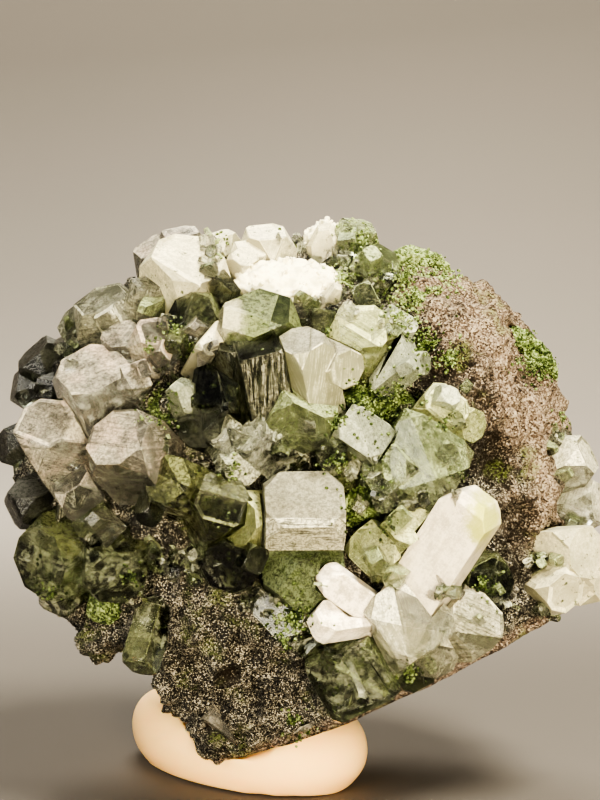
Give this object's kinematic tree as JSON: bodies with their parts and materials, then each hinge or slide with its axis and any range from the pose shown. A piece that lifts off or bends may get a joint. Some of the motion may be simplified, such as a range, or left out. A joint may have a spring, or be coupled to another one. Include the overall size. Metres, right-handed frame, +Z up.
{
  "type": "apophyllite cluster",
  "caption": "Glassy green and frosted apophyllite blocks with white stilbite blades on dark drusy basalt, leaning on a smooth beige display pad.",
  "frame": {"origin": "middle of the underside of the whole object's box, on the surface that the display pad stands on", "axes": "+Z up, the crystal face looks along -Y, +X to the right of the crystal face as seen from in front"},
  "size_m": [0.091, 0.0704, 0.0855],
  "materials": {
    "basalt": "rough, drusy",
    "apophyllite": "glassy, partly frosted, green inclusions",
    "stilbite": "milky, pearly",
    "celadonite": "mossy, matt",
    "white_zeolite": "sugary",
    "pad": "smooth satin"
  },
  "bodies": {
    "root": {"apophyllite_big_dome": "apophyllite", "apophyllite_clear_hook": "apophyllite", "apophyllite_cloud_block": "apophyllite", "apophyllite_crest": "apophyllite", "apophyllite_crown_back": "apophyllite", "apophyllite_crown_dome": "apophyllite", "apophyllite_crown_left": "apophyllite", "apophyllite_crown_mid": "apophyllite", "apophyllite_crown_rim": "apophyllite", "apophyllite_dark_block": "apophyllite", "apophyllite_eye": "apophyllite", "apophyllite_fallen_slab": "apophyllite", "apophyllite_fan_blocks": "apophyllite", "apophyllite_frosted_step": "apophyllite", "apophyllite_green_window": "apophyllite", "apophyllite_knife_pair": "apophyllite", "apophyllite_left_edge": "apophyllite", "apophyllite_left_foot": "apophyllite", "apophyllite_left_front": "apophyllite", "apophyllite_left_lower": "apophyllite", "apophyllite_left_pair": "apophyllite", "apophyllite_left_point": "apophyllite", "apophyllite_left_rim": "apophyllite", "apophyllite_left_shelf": "apophyllite", "apophyllite_left_upper": "apophyllite", "apophyllite_mid_plate": "apophyllite", "apophyllite_moss_leaf": "apophyllite", "apophyllite_mossy_step": "apophyllite", "apophyllite_olive_pair": "apophyllite", "apophyllite_pale_prism": "apophyllite", "apophyllite_pale_shard": "apophyllite", "apophyllite_rear_01": "apophyllite", "apophyllite_rear_02": "apophyllite", "apophyllite_rear_03": "apophyllite", "apophyllite_rear_04": "apophyllite", "apophyllite_rear_05": "apophyllite", "apophyllite_rear_06": "apophyllite", "apophyllite_rear_07": "apophyllite", "apophyllite_rear_08": "apophyllite", "apophyllite_right_corner": "apophyllite", "apophyllite_right_small": "apophyllite", "apophyllite_right_wall": "apophyllite", "apophyllite_shadow_block": "apophyllite", "apophyllite_shoulder": "apophyllite", "apophyllite_square_foot": "apophyllite", "apophyllite_striped_prism": "apophyllite", "apophyllite_under_left": "apophyllite", "apophyllite_v_crystal": "apophyllite", "basalt_matrix": "basalt", "display_pad": "pad", "green_crust_crest": "celadonite", "green_crust_hollow": "celadonite", "green_crust_lower": "celadonite", "green_crust_middle": "celadonite", "green_crust_rim": "celadonite", "stilbite_column": "stilbite", "stilbite_rod_lower": "stilbite", "stilbite_rod_upper": "stilbite", "white_crust_crown": "white_zeolite", "white_crust_spire": "white_zeolite"}
  },
  "joints": []
}
